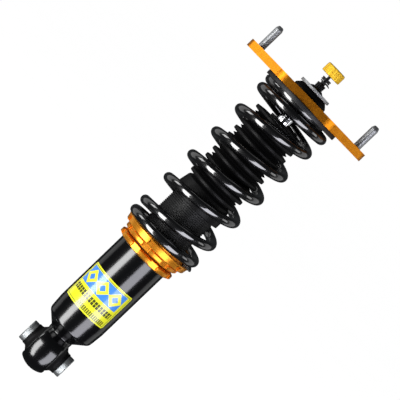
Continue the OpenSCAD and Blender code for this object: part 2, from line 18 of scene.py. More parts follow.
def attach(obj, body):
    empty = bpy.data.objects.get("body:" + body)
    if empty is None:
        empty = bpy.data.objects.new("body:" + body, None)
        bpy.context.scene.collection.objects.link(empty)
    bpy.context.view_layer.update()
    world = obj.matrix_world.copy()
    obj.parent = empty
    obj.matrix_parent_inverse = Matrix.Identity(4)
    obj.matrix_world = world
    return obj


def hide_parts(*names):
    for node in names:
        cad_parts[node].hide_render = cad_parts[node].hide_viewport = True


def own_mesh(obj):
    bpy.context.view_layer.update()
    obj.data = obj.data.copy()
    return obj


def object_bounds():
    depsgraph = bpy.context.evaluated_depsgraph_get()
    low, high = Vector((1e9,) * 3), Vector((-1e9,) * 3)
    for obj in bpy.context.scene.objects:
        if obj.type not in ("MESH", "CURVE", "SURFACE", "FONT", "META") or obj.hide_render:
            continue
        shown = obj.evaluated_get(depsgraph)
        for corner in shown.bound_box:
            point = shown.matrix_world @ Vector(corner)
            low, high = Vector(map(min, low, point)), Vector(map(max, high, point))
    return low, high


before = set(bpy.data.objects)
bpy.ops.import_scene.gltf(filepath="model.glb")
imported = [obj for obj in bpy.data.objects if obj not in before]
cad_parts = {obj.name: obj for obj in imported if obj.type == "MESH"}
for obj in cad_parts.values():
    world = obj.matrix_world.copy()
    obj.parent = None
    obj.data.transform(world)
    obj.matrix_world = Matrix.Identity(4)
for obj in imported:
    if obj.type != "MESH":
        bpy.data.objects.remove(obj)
cad_box = [list(corner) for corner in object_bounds()]
print("box of the model:", cad_box)

# %% [markdown]
# ## Helpers for turned shapes
#
# Most of a coilover is made on a lathe or wound round a bar, so most pieces are rings of points stacked
# along one axis. Blender could spin an edge with a modifier, but plain lists of rings are easier to change:
# a thread, a flute or a flat is only a radius that depends on the angle. One helper joins rings into a
# skin, one makes rings from a lathe outline, and one rounds the outline's corners, because an edge with no
# radius catches no light.

# %% Rings, skins and outlines
MM = 0.001
TURN = 2 * math.pi


def ring(radius, z, steps=96, axis="Z"):
    """A ring of points; radius is a number, or a function of the angle from the front towards +X."""
    points = []
    for k in range(steps):
        a = TURN * k / steps
        r = radius(a) if callable(radius) else radius
        side, front = r * math.sin(a), -r * math.cos(a)
        points.append((side, front, z) if axis == "Z" else (z, side, front))
    return points


def rings(stack, steps=96, axis="Z"):
    """One ring for each (radius, height) of a stack."""
    return [ring(r, z, steps, axis) for r, z in stack]


def skin(stack, closed=False):
    """Joins rings into a mesh. A ring of one point is a tip; closed joins the last ring to the first."""
    mesh = bmesh.new()
    rows = [[mesh.verts.new([MM * c for c in p]) for p in points] for points in stack]
    pairs = list(zip(rows, rows[1:])) + ([(rows[-1], rows[0])] if closed else [])
    for low, high in pairs:
        n = max(len(low), len(high))
        for k in range(n):
            corners = []
            for v in (low[k % len(low)], low[(k + 1) % len(low)],
                      high[(k + 1) % len(high)], high[k % len(high)]):
                if v not in corners:
                    corners.append(v)
            mesh.faces.new(corners)
    bmesh.ops.recalc_face_normals(mesh, faces=mesh.faces)
    return mesh


def rounded(outline, radius=0.4, steps=3):
    """Rounds an outline's corners. A point may carry its own radius as a third number."""
    points = []
    for i, corner in enumerate(outline):
        here = Vector(corner[:2])
        before = Vector(outline[i - 1][:2]) - here
        after = Vector(outline[(i + 1) % len(outline)][:2]) - here
        r = corner[2] if len(corner) > 2 else radius
        reach = min(r, 0.45 * before.length, 0.45 * after.length)
        if reach < 1e-4:
            points.append(tuple(here))
            continue
        a, b = here + before.normalized() * reach, here + after.normalized() * reach
        for s in range(steps + 1):
            t = s / steps
            points.append(tuple(a * (1 - t) ** 2 + here * 2 * t * (1 - t) + b * t ** 2))
    return points


def revolve(outline, steps=96, axis="Z"):
    """Turns a closed outline of (radius, height) points round the axis."""
    return skin(rings(outline, steps, axis), closed=True)


print("helpers ready; a ring of 96 steps on the sleeve has facets",
      round(28.1 * TURN / 96, 2), "mm wide")

# %% [markdown]
# ## Helpers for cutting and placing
#
# Spanner notches and bolt holes are milled out of the turned blank. A boolean modifier does the same, and
# a bevel afterwards breaks the new edges as a deburring wheel would. Both are applied straight away, so
# that each piece ends as plain mesh. The last helper names a piece, gives it its finish, shades it smooth
# except at real edges, and hands it to the frame: which body it rides on and which model nodes it
# replaces.

# %% Cutting, bevelling and placing
def as_object(name, mesh):
    data = bpy.data.meshes.new(name)
    mesh.to_mesh(data)
    mesh.free()
    thing = bpy.data.objects.new(name, data)
    bpy.context.scene.collection.objects.link(thing)
    return thing


def applied(thing, kind, **settings):
    """Adds one modifier, applies it, and leaves the object with the resulting mesh."""
    modifier = thing.modifiers.new("step", kind)
    for key, value in settings.items():
        setattr(modifier, key, value)
    bpy.context.view_layer.update()
    result = thing.evaluated_get(bpy.context.evaluated_depsgraph_get())
    thing.data = bpy.data.meshes.new_from_object(result)
    thing.modifiers.clear()
    return thing


def cut(thing, *tools):
    for tool in tools:
        applied(thing, "BOOLEAN", operation="DIFFERENCE", solver="EXACT", object=tool)
        bpy.data.objects.remove(tool, do_unlink=True)
    return thing


def bevelled(thing, width, segments=2, angle=32):
    return applied(thing, "BEVEL", width=width * MM, segments=segments, limit_method="ANGLE",
                   angle_limit=math.radians(angle), miter_outer="MITER_ARC")


def block(size, centre, turn=0.0):
    """A box for cutting, in millimetres, turned about Z after it is moved."""
    mesh = bmesh.new()
    bmesh.ops.create_cube(mesh, size=1)
    move = (Matrix.Rotation(turn, 4, "Z") @ Matrix.Translation([MM * c for c in centre])
            @ Matrix.Diagonal([MM * s for s in size] + [1]))
    bmesh.ops.transform(mesh, matrix=move, verts=mesh.verts)
    return as_object("cutter", mesh)


def place(name, shape, body, finish, nodes=(), sharp=38, milled=False):
    """Names, shades, paints and rides a piece; nodes are the model's nodes that it stands for."""
    thing = shape if isinstance(shape, bpy.types.Object) else as_object(name, shape)
    thing.data.shade_smooth()
    thing.data.set_sharp_from_angle(angle=math.radians(sharp))
    if milled:
        applied(thing, "WEIGHTED_NORMAL", keep_sharp=True)
    thing.name = thing.data.name = name
    thing.data.materials.clear()
    thing.data.materials.append(finish)
    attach(thing, body)
    if nodes:
        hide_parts(*nodes)
    size = [round(d * 1000, 1) for d in thing.dimensions]
    print(f"{name}: {len(thing.data.polygons)} faces, {size} mm, rides {body}")
    return thing


# %% [markdown]
# ## Shader maths as plain expressions
#
# A finish is a colour, a roughness and a fine relief that change over the surface. Node by node that is
# slow to read, so one small class wraps a socket and lets us write `1 - mask` or `stripes * 0.3`. A second
# class is one material: it makes any node from its type, its settings and its inputs, and it sets what is
# the same all over straight on the shader.

# %% A socket that does arithmetic, and a material that builds itself
class Wire:
    def __init__(self, finish, socket):
        self.finish, self.socket = finish, socket

    def maths(self, operation, *values):
        return self.finish.node("Math", {"operation": operation}, *values)

    def __add__(self, other): return self.maths("ADD", self, other)
    def __radd__(self, other): return self.maths("ADD", other, self)
    def __sub__(self, other): return self.maths("SUBTRACT", self, other)
    def __rsub__(self, other): return self.maths("SUBTRACT", other, self)
    def __mul__(self, other): return self.maths("MULTIPLY", self, other)
    def __rmul__(self, other): return self.maths("MULTIPLY", other, self)
    def __truediv__(self, other): return self.maths("DIVIDE", self, other)
    def __gt__(self, other): return self.maths("GREATER_THAN", self, other)
    def size(self): return self.maths("ABSOLUTE", self)
    def wrapped(self): return self.maths("FRACT", self)


class Finish:
    def __init__(self, name, slot, **uniform):
        self.material = bpy.data.materials.new(name)
        self.material["slot"] = slot
        self.material.use_nodes = True
        self.tree = self.material.node_tree
        self.shader = self.tree.nodes["Principled BSDF"]
        for key, value in uniform.items():
            self.shader.inputs[key.replace("_", " ")].default_value = value

    def node(self, kind, settings, *inputs, out=0):
        """Any node: its settings or a ramp's stops first, then its inputs. None leaves an input as it is."""
        made = self.tree.nodes.new("ShaderNode" + kind)
        for key, value in settings.items():
            if key == "stops":
                for mark, (position, level) in zip(made.color_ramp.elements, value):
                    mark.position, mark.color = position, (level, level, level, 1)
            else:
                setattr(made, key, value)
        sockets = [s for s in made.inputs if s.enabled]
        for socket, value in zip(sockets, inputs):
            self.feed(socket, value)
        sources = [s for s in made.outputs if s.enabled]
        return Wire(self, sources[out] if isinstance(out, int) else made.outputs[out])

    def feed(self, socket, value):
        if isinstance(value, Wire):
            self.tree.links.new(value.socket, socket)
        elif value is not None:
            socket.default_value = value

    def position(self):
        """The surface's own position in millimetres."""
        spot = self.node("TexCoord", {}, out="Object")
        return self.node("VectorMath", {"operation": "SCALE"}, spot, 1 / MM)

    def axes(self, spot):
        return [self.node("SeparateXYZ", {}, spot, out=i) for i in range(3)]

    def stretched(self, spot, x, y, z):
        return self.node("VectorMath", {"operation": "MULTIPLY"}, spot, (x, y, z))

    def noise(self, spot, scale, detail=3.0, rough=0.55):
        return self.node("TexNoise", {}, spot, scale, detail, rough)

    def blend(self, mask, low, high):
        """A colour between two colours."""
        return self.node("Mix", {"data_type": "RGBA"}, mask, low, high)

    def ramp(self, value, low, high):
        """Black up to low, white from high, and grey between."""
        return self.node("ValToRGB", {"stops": ((low, 0), (high, 1))}, value)

    def relief(self, height, depth, strength=1.0):
        """A fine relief, depth in millimetres."""
        return self.node("Bump", {}, strength, depth * MM, None, height)

    def wear(self, **varying):
        """Links what varies over the surface to the shader, and hands back the material."""
        for key, value in varying.items():
            self.feed(self.shader.inputs[key.replace("_", " ")], value)
        return self.material


print("shader helpers ready")

# %% [markdown]
# ## Camera
#
# The coilover is seen from the label's side, five degrees above the horizon, through a long lens that
# keeps the plate edge-on. The camera is rolled so that the damper climbs from the lower left to the upper
# right. A roll leaves the light and the floor where they are.

# %% The camera
target = Vector((-0.00106, 0, 0.2081))
elevation, roll, distance = math.radians(5), math.radians(46.2), 1.584
camera_data = bpy.data.cameras.new("camera")
camera_data.lens, camera_data.sensor_width = 148.5, 36
camera = bpy.data.objects.new("camera", camera_data)
back = Vector((0, -math.cos(elevation), math.sin(elevation)))
look = (-back).to_track_quat("-Z", "Y").to_matrix().to_4x4()
camera.matrix_world = Matrix.Translation(target + back * distance) @ look @ Matrix.Rotation(roll, 4, "Z")
bpy.context.scene.collection.objects.link(camera)
bpy.context.scene.camera = camera
print("camera at", [round(c, 3) for c in camera.matrix_world.translation])

# %% [markdown]
# ## Studio
#
# Gloss black paint shows almost nothing but what it reflects. Two tall soft boxes, one on each side of
# the camera, draw the two long highlights down the sleeve and the small lens-shaped ones on each coil. Two
# smaller boxes at the sides light the plate's slanted edges. Two weak boxes behind draw the outline of the
# back, and a dim round lamp overhead lights the top of the plate. A sky picture would be quicker to set up,
# but each box can be moved until its highlight falls where it should. The boxes are hidden from the
# camera's own rays, so they never get in the way of another view. The world is white to the camera and a
# dim grey to the object, which keeps the blacks black. The floor is pale paper with a glow of its own and
# no shadows, so no horizon shows.

# %% Soft boxes, world and floor
def soft_box(name, azimuth, width, bottom, top, power, reach=1.2, colour=(1, 1, 1)):
    """A tall box on a circle round the object; azimuth is in degrees from the camera's side towards +X."""
    light = bpy.data.lights.new(name, "AREA")
    light.shape, light.size, light.size_y = "RECTANGLE", width, top - bottom
    light.energy, light.color = power * width * (top - bottom) * math.pi, colour
    box = bpy.data.objects.new(name, light)
    a = math.radians(azimuth)
    spot = Vector((reach * math.sin(a), -reach * math.cos(a), (top + bottom) / 2))
    facing = Vector((-spot.x, -spot.y, 0)).to_track_quat("-Z", "Y")
    box.matrix_world = Matrix.Translation(spot) @ facing.to_matrix().to_4x4()
    box.visible_camera = False
    bpy.context.scene.collection.objects.link(box)
    print(name, "at", [round(c, 2) for c in spot])


soft_box("left_strip", -41, 0.56, -1.9, 0.34, 9.0)
soft_box("right_strip", 42, 0.76, -1.9, 0.34, 5.0, colour=(0.92, 0.92, 1))
soft_box("left_side_box", -84, 0.4, 0.22, 0.8, 4.0)
soft_box("right_side_box", 86, 0.4, 0.22, 0.8, 1.6)
soft_box("left_back_box", -118, 0.6, -0.6, 1.2, 0.5)
soft_box("right_back_box", 118, 0.6, -0.6, 1.2, 0.5)

LAMP_SIZE, LAMP_POWER = 1.2, 0.3
overhead = bpy.data.lights.new("overhead", "AREA")
overhead.shape, overhead.size = "DISK", LAMP_SIZE
overhead.energy = LAMP_POWER * math.pi * (math.pi * (LAMP_SIZE / 2) ** 2)
lamp = bpy.data.objects.new("overhead", overhead)
lamp.location, lamp.visible_camera = (0, 0, 2.0), False
bpy.context.scene.collection.objects.link(lamp)

world = bpy.data.worlds.new("studio")
bpy.context.scene.world = world
world.use_nodes = True
sky = world.node_tree
to_camera = sky.nodes.new("ShaderNodeLightPath").outputs["Is Camera Ray"]
dim, white = sky.nodes["Background"], sky.nodes.new("ShaderNodeBackground")
dim.inputs[0].default_value, dim.inputs[1].default_value = (0.9, 0.95, 1.0, 1), 0.035
white.inputs[0].default_value, white.inputs[1].default_value = (1, 1, 1, 1), 1.0
either = sky.nodes.new("ShaderNodeMixShader")
for source, socket in ((to_camera, either.inputs[0]), (dim.outputs[0], either.inputs[1]),
                       (white.outputs[0], either.inputs[2]),
                       (either.outputs[0], sky.nodes["World Output"].inputs[0])):
    sky.links.new(source, socket)

FLOOR_HALF, FLOOR_GAP = 15, 0.001
floor_mesh = bmesh.new()
bmesh.ops.create_grid(floor_mesh, x_segments=1, y_segments=1, size=FLOOR_HALF)
bmesh.ops.translate(floor_mesh, verts=floor_mesh.verts, vec=(0, 0, cad_box[0][2] - FLOOR_GAP))
floor = as_object("floor", floor_mesh)
paper = Finish("paper", "", Roughness=1.0, Specular_IOR_Level=0.0, Emission_Strength=1.0)
tone = paper.noise(paper.position(), 0.004, 2.0)
floor.data.materials.append(paper.wear(
    Base_Color=paper.blend(tone, (0.16, 0.16, 0.16, 1), (0.18, 0.18, 0.18, 1)),
    Emission_Color=paper.blend(tone, (0.985, 0.985, 0.985, 1), (1, 1, 1, 1))))
floor.visible_glossy = False
floor.visible_diffuse = False
floor.visible_shadow = False
bpy.context.scene.view_settings.view_transform = "Standard"

# %% [markdown]
# ## Gloss black paint
#
# The bracket is cast, blasted and powder coated. Powder coat is a thick, smooth film with a faint orange
# peel a few millimetres across, and a hard clear surface. The Coat layer gives that second reflection.
# The peel is a noise bump, and a finer noise lifts the roughness in patches, as handling marks do. The
# spring's coat is the same kind of paint, thinner and harder, so one function mixes both.

# %% Gloss black paint for the bracket, and the spring's coat
def paint(name, slot, dark, light, rough, spread, peel_scale, speck_scale, **uniform):
    coat = Finish(name, slot, Coat_Weight=1.0, **uniform)
    spot = coat.position()
    peel = coat.noise(spot, peel_scale, 2.0)
    specks = coat.noise(spot, speck_scale, 4.0)
    return coat.wear(
        Base_Color=coat.blend(specks, dark, light),
        Roughness=rough + spread * specks,
        Normal=coat.relief(peel, 0.02))


gloss_black = paint("gloss_black", "gloss_black_paint",
                    (0.0008, 0.0008, 0.001, 1), (0.0018, 0.0018, 0.0022, 1), 0.16, 0.12, 0.35, 2.2,
                    Specular_IOR_Level=0.0, Coat_Roughness=0.17, Coat_IOR=1.7)
spring_black = paint("spring_black", "spring_paint", (0.0007, 0.0007, 0.0009, 1), (0.0015, 0.0015, 0.0018, 1),
                     0.18, 0.14, 0.6, 3.0, IOR=1.5, Coat_Roughness=0.05, Coat_IOR=1.85)
print("black paints:", gloss_black.name, spring_black.name)

# %% [markdown]
# ## Gold anodised aluminium
#
# The rings, the perch and the plate are cut from aluminium and dyed gold in the anodising bath. The dye is
# clear over metal, so the colour sits in the reflection: a metallic shader with an orange-gold base. The
# lathe leaves fine rings across a turned face and the mill leaves a fine sideways grain on the plate, so
# the noise is stretched one way for the rings and another for the plate. The knob's gold is a yellower,
# duller satin. The Metallic value says how much of the colour sits in the reflection.

# %% Gold in two grains, and the knob's satin gold
def gold(name, slot, stretch, low, high, rough, metallic=1.0):
    dye = Finish(name, slot, Metallic=metallic)
    spot = dye.position()
    grain = dye.noise(dye.stretched(spot, *stretch), 1.0, 2.0, 0.5)
    cloud = dye.noise(spot, 0.12, 2.0)
    return dye.wear(
        Base_Color=dye.blend(dye.ramp(0.6 * grain + 0.4 * cloud, 0.3, 0.7), low, high),
        Roughness=rough - 0.05 + 0.1 * grain,
        Normal=dye.relief(grain, 0.004))


turned_gold = gold("turned_gold", "gold_anodised", (0.05, 0.05, 1.2),
                   (0.72, 0.25, 0.015, 1), (0.94, 0.38, 0.025, 1), 0.28, 0.72)
milled_gold = gold("milled_gold", "gold_anodised", (0.4, 0.4, 1.2),
                   (0.52, 0.165, 0.008, 1), (0.76, 0.28, 0.014, 1), 0.36)
knob_gold = gold("satin_gold", "knob_gold", (0.1, 0.1, 1.5),
                 (0.92, 0.53, 0.02, 1), (0.98, 0.61, 0.03, 1), 0.5, 0.5)
print("golds:", turned_gold.name, milled_gold.name, knob_gold.name)

# %% [markdown]
# ## Rubbers
#
# The bellows, the bushes and the seals are moulded rubber: nearly black, matt, with a light bloom. A
# little Sheen stands for that bloom, and noise gives the skin its grain. The bellows also shows faint
# mould lines round it, so its noise is stretched sideways and added to the relief.

# %% Rubber for the boot, the bushes and the seals
def rubber(name, slot, dark, bloom, rough, line=0.0):
    mix = Finish(name, slot, IOR=1.5, Sheen_Weight=0.01, Sheen_Roughness=0.5, Specular_IOR_Level=0.16)
    spot = mix.position()
    grain = mix.noise(spot, 1.8, 5.0, 0.65)
    lines = mix.noise(mix.stretched(spot, 0.05, 0.05, 3.0), 1.0, 3.0)
    patch = mix.noise(spot, 0.15, 3.0)
    return mix.wear(
        Base_Color=mix.blend(mix.ramp(patch, 0.35, 0.7), dark, bloom),
        Roughness=rough + 0.16 * grain,
        Normal=mix.relief(grain * 0.6 + lines * line, 0.03))


boot_rubber = rubber("bellows_rubber", "boot_rubber",
                     (0.0008, 0.0008, 0.001, 1), (0.0022, 0.0022, 0.0025, 1), 0.38, 1.2)
bush_rubber = rubber("mount_rubber", "bush_rubber",
                     (0.001, 0.001, 0.001, 1), (0.0025, 0.0025, 0.0028, 1), 0.5)
seal_rubber = rubber("nitrile", "seal_rubber",
                     (0.02, 0.02, 0.022, 1), (0.035, 0.035, 0.037, 1), 0.4)
print("rubbers:", boot_rubber.name, bush_rubber.name, seal_rubber.name)

# %% [markdown]
# ## Bare, plated and blackened metal
#
# The remaining metals differ in colour, in how polished they are, and in which way the tool went. One
# function makes them all: it takes the colour, the roughness and the stretch of the tool marks. Zinc plate
# gets soft grey clouds, chrome almost none, and black oxide is a dark, slightly oily skin over steel. The
# foam and the plastic band differ in the same few values, so they come from the same function.

# %% Metals
def metal(name, slot, low, high, rough, stretch=(0.08, 0.08, 1.5), depth=0.004, metallic=1.0, cloud=0.2):
    surface = Finish(name, slot, Metallic=metallic)
    spot = surface.position()
    marks = surface.noise(surface.stretched(spot, *stretch), 1.0, 2.0, 0.5)
    clouds = surface.noise(spot, cloud, 3.0)
    return surface.wear(
        Base_Color=surface.blend(surface.ramp(0.5 * marks + 0.5 * clouds, 0.35, 0.65), low, high),
        Roughness=rough - 0.04 + 0.12 * marks,
        Normal=surface.relief(marks, depth))


zinc = metal("bright_zinc", "zinc_plate", (0.42, 0.43, 0.44, 1), (0.66, 0.67, 0.68, 1), 0.26)
turned_zinc = metal("turned_zinc", "zinc_plate", (0.34, 0.36, 0.36, 1), (0.48, 0.5, 0.5, 1), 0.44)
washer_zinc = metal("washer_zinc", "zinc_plate", (0.5, 0.52, 0.53, 1), (0.66, 0.68, 0.7, 1),
                    0.5, metallic=0.4)
stud_zinc = metal("dull_zinc", "zinc_plate", (0.3, 0.31, 0.32, 1), (0.46, 0.47, 0.48, 1), 0.46)
chrome = metal("hard_chrome", "chrome_rod", (0.72, 0.73, 0.75, 1), (0.8, 0.81, 0.83, 1), 0.07, depth=0.001)
steel = metal("steel", "machined_steel", (0.42, 0.42, 0.43, 1), (0.6, 0.6, 0.61, 1), 0.3)
alloy = metal("alloy", "machined_alloy", (0.55, 0.55, 0.57, 1), (0.72, 0.72, 0.74, 1), 0.3)
brass = metal("brass", "brass_screw", (0.6, 0.42, 0.14, 1), (0.75, 0.56, 0.22, 1), 0.28)
tube_coat = metal("body_black", "black_tube_coat", (0.001, 0.001, 0.0012, 1), (0.0025, 0.0026, 0.003, 1),
                  0.46, metallic=0.0)
black_oxide = metal("oxide_black", "black_oxide", (0.004, 0.004, 0.0045, 1), (0.009, 0.009, 0.01, 1),
                    0.34, metallic=0.3)
satin_black = metal("seat_black", "satin_black", (0.006, 0.006, 0.007, 1), (0.011, 0.011, 0.012, 1),
                    0.42, metallic=0.2)
foam = metal("foam", "bump_foam", (0.5, 0.36, 0.12, 1), (0.66, 0.5, 0.2, 1),
             0.8, stretch=(2, 2, 2), depth=0.06, metallic=0.0)
band_plastic = metal("bronze_plastic", "band_plastic", (0.16, 0.09, 0.04, 1), (0.24, 0.14, 0.07, 1),
                     0.5, metallic=0.0)
print("metals ready:", zinc.name, chrome.name, tube_coat.name)

# %% [markdown]
# ## The label
#
# The sleeve carries a printed vinyl label, yellow with a blue field. It is thin enough to follow the sleeve
# but thick enough to show its edge, so it is a curved sheet with rounded corners. A picture could be
# wrapped round it, but arithmetic stays sharp at any size: the angle round the sleeve times its radius
# gives millimetres across, and the height gives millimetres up. A rectangle is then two distances that are
# made crisp and multiplied. The field carries three diamonds and the rows below carry plain bars.

# %% The print
LABEL_R, LABEL_LOW, LABEL_HIGH = 28.37, 55.4, 97.4
LABEL_LEFT, LABEL_RIGHT = math.radians(-67), math.radians(53)
across_low, across_high = LABEL_LEFT * LABEL_R, LABEL_RIGHT * LABEL_R

vinyl = Finish("print", "label_vinyl", IOR=1.5, Coat_Weight=0.8, Coat_Roughness=0.08, Coat_IOR=1.55)
spot = vinyl.position()
x, y, z = vinyl.axes(spot)
across = vinyl.node("Math", {"operation": "ARCTAN2"}, x, 0 - y) * LABEL_R


def crisp(distance):
    """0 outside a shape and 1 inside it, with an edge a tenth of a millimetre wide."""
    return vinyl.node("Math", {"operation": "MULTIPLY", "use_clamp": True}, distance, 10.0)


def bar(low, high, bottom, top):
    """A rectangle of the print, in millimetres."""
    def inside(value, a, b):
        return crisp((b - a) / 2 - (value - (a + b) / 2).size())
    return inside(across, low, high) * inside(z, bottom, top)


def diamond(centre, size):
    return crisp(size - ((across - centre).size() + (z - FIELD_MID).size()))


def inset_box(inset):
    return bar(across_low + inset, across_high - inset, LABEL_LOW + inset, LABEL_HIGH - inset)


margin, line_width = 1.4, 0.7
frame_line = inset_box(margin) - inset_box(margin + line_width)
FIELD_LOW, FIELD_HIGH, FIELD_MID, MARK, MARK_LINE = 75.8, 94.8, 85.3, 8.6, 4.6
field = bar(-30.6, 21.4, FIELD_LOW, FIELD_HIGH)
first_mark, *other_marks = [diamond(c, MARK) - diamond(c, MARK - MARK_LINE) for c in (-21.6, -4.6, 12.4)]
marks = sum(other_marks, first_mark)
dashes = bar(-30.0, 22.4, 66.2, 72.4) * ((across / 3.4).wrapped() > 0.2) * (1 - bar(-31, 23, 69.1, 69.5))
small_dashes = bar(-12.5, 22.4, 57.4, 61.8) * ((across / 2.2).wrapped() > 0.3)
fleck = vinyl.noise(spot, 1.6, 4.0)
yellow = vinyl.blend(fleck, (0.72, 0.72, 0.015, 1), (0.84, 0.84, 0.03, 1))
blue, ink, border = (0.055, 0.24, 0.72, 1), (0.05, 0.055, 0.01, 1), (0.2, 0.24, 0.02, 1)
printed = vinyl.blend(frame_line, yellow, border)
printed = vinyl.blend(field, printed, blue)
printed = vinyl.blend(marks, printed, (0.84, 0.82, 0.05, 1))
printed = vinyl.blend(dashes, printed, ink)
printed = vinyl.blend(small_dashes * 0.9, printed, ink)
label_print = vinyl.wear(Base_Color=printed, Roughness=0.22 + 0.12 * fleck,
                         Normal=vinyl.relief(vinyl.noise(spot, 0.5, 2.0), 0.015))
print("label:", round(across_high - across_low, 1), "mm round,", LABEL_HIGH - LABEL_LOW, "mm tall")

# %% The label's sheet
LABEL_INNER, corner = 28.12, 2.0
label_columns, label_rows = 96, 24
sheet = bmesh.new()
layers = []
for radius in (LABEL_INNER, LABEL_R):
    grid = []
    for i in range(label_columns + 1):
        s = across_low + (across_high - across_low) * i / label_columns
        inset = max(0.0, corner - min(s - across_low, across_high - s))
        trim = corner - math.sqrt(max(0.0, corner ** 2 - inset ** 2))
        a = s / LABEL_R
        column = []
        for j in range(label_rows + 1):
            height = LABEL_LOW + trim + (LABEL_HIGH - LABEL_LOW - 2 * trim) * j / label_rows
            point = (radius * math.sin(a), -radius * math.cos(a), height)
            column.append(sheet.verts.new([MM * c for c in point]))
        grid.append(column)
    layers.append(grid)
inner, outer = layers
for i in range(label_columns):
    for j in range(label_rows):
        for grid in layers:
            sheet.faces.new((grid[i][j], grid[i + 1][j], grid[i + 1][j + 1], grid[i][j + 1]))
rim = ([(i, 0) for i in range(label_columns)] + [(label_columns, j) for j in range(label_rows)]
       + [(i, label_rows) for i in range(label_columns, 0, -1)] + [(0, j) for j in range(label_rows, 0, -1)])
for (a, b), (c, d) in zip(rim, rim[1:] + rim[:1]):
    sheet.faces.new((outer[a][b], outer[c][d], inner[c][d], inner[a][b]))
bmesh.ops.recalc_face_normals(sheet, faces=sheet.faces)
place("printed_label", sheet, "bracket", label_print, ["sleeve_label"])

# %% [markdown]
# ## The lower bracket
#
# Eye, neck, cone and sleeve are one casting. Modelled apart and joined, the eye would meet the neck in a
# hard line that no foundry could cast. Here the whole outside is one skin whose radius depends on height
# and angle. The eye is a ball cut by two flats, the neck and cone are a lathe outline, and a smooth
# maximum of the two leaves a fillet between them. The sleeve's inside and the eye's bore follow.

# %% The casting's outline
EYE_R, EYE_HALF, NECK_R, SLEEVE_R = 24.3, 14.0, 12.7, 28.1
EYE_FILLET, NECK_FILLET, CASTING_STEPS = 2.4, 3.0, 144
cone_outline = [(0.0, NECK_R), (16.0, NECK_R), (18.0, 12.95), (20.0, 13.75), (22.0, 15.3),
                (29.6, 23.7), (30.8, 25.1), (32.0, 26.1), (33.4, 26.7), (35.5, 27.0), (48.0, SLEEVE_R)]


def lathe_radius(z):
    for (z0, r0), (z1, r1) in zip(cone_outline, cone_outline[1:]):
        if z <= z1:
            return r0 + (r1 - r0) * max(0.0, z - z0) / (z1 - z0)
    return SLEEVE_R


def smooth_max(a, b, width):
    share = max(width - abs(a - b), 0.0) / width
    return max(a, b) + share * share * width / 4


def eye_radius(z, a):
    """The ball between its two flats, which face +X and -X and have rounded edges."""
    ball = math.sqrt(max(EYE_R ** 2 - z * z, 0.0))
    flat = EYE_HALF / max(abs(math.sin(a)), 1e-6)
    return -smooth_max(-ball, -flat, EYE_FILLET) if ball > 1.5 else min(ball, flat)


# %% The casting's skin
heights = [-EYE_R * math.cos(math.radians(t)) for t in range(3, 148, 3)]
heights += [20.4 + 0.35 * k for k in range(48)]
heights += [37.5, 39, 41, 43, 45, 47, 48, 50] + [52 + 6 * k for k in range(13)] + [130.4]
shell = [[(0, 0, -EYE_R)]]
for height in heights:
    def outside(a, height=height):
        if height > EYE_R:
            return lathe_radius(height)
        if height < 0:
            return eye_radius(height, a)
        return smooth_max(eye_radius(height, a), lathe_radius(height), NECK_FILLET)
    shell.append(ring(outside, height, CASTING_STEPS))
shell += rings([(SLEEVE_R, 131.2), (28.02, 131.6), (27.8, 131.85), (27.4, 132.0), (25.4, 132.0),
                (25.1, 131.8), (25.05, 131.4), (25.05, 42.6), (24.7, 42.1), (24.0, 42.0)], CASTING_STEPS)
shell.append([(0, 0, 42.0)])
casting = as_object("eye_bracket_casting", skin(shell))
bore_walls = rings([(20.0, -30.0), (20.0, -15.4), (17.0, -12.9), (17.0, 12.9), (20.0, 15.4), (20.0, 30.0)],
                   128, "X")
cut(casting, as_object("cutter", skin([[(-30.0, 0, 0)]] + bore_walls + [[(30.0, 0, 0)]])))
place("eye_bracket_casting", casting, "bracket", gloss_black, ["lower_bracket"], sharp=34, milled=True)

# %% [markdown]
# ## The eye bush
#
# A rubber bush fills the eye and a steel sleeve runs through it. The rubber swells to a cone on each side,
# which keeps the eye off the fork. The sleeve's end faces are serrated so that they bite the fork when the
# bolt is tightened. The serrations are only a height that zigzags with the angle. The fine lines round the
# sleeve are turned grooves a tenth of a millimetre deep. Their slopes face left and right, so they catch
# the soft boxes that a plain sleeve would miss.

# %% Rubber and sleeve of the eye
moulding = rounded([(11.8, -21.1), (12.4, -21.1, 0.2), (12.4, -17.2, 1.5), (15.9, -14.2, 0.8),
                    (16.95, -13.2, 0.5), (16.95, 13.2, 0.5), (15.9, 14.2, 0.8), (12.4, 17.2, 1.5),
                    (12.4, 21.1, 0.2), (11.8, 21.1)], 0.1)
place("eye_bush_moulding", revolve(moulding, 96, "X"), "bracket", bush_rubber, ["eye_bush_rubber"])

SLEEVE_HALF, SLEEVE_STEPS, TEETH, TOOTH_DEPTH = 27.2, 144, 36, 0.7
GROOVES, GROOVE_PITCH, GROOVE_DEPTH = 6, 0.78, 0.08


def zigzag(a, count):
    """From 0 to 1 and back, count times a turn."""
    t = (a / TURN * count) % 1.0
    return 1 - abs(2 * t - 1)


def end_face(side, r, a):
    """The teeth grow deeper from the bore outwards."""
    return side * (SLEEVE_HALF - TOOTH_DEPTH * zigzag(a, TEETH) * min(1.0, (r - 5.5) / 3))


rows = []
angles = [TURN * k / SLEEVE_STEPS for k in range(SLEEVE_STEPS)]
for side in (-1, 1):
    face = [[(end_face(side, r, a), r * math.sin(a), -r * math.cos(a)) for a in angles]
            for r in (6.6, 8.0, 10.0, 11.2)]
    sides = [ring(11.75 - GROOVE_DEPTH * (k % 2), side * (26.3 - k * GROOVE_PITCH / 2), SLEEVE_STEPS, "X")
             for k in range(2 * GROOVES + 1)] + [ring(11.74, side * 21.2, SLEEVE_STEPS, "X")]
    part = [ring(6.1, side * 26.2, SLEEVE_STEPS, "X")] + face + sides
    rows += part if side < 0 else part[::-1]
place("serrated_sleeve", skin(rows, closed=True), "bush_sleeve", turned_zinc, ["eye_bush_sleeve"], sharp=12)

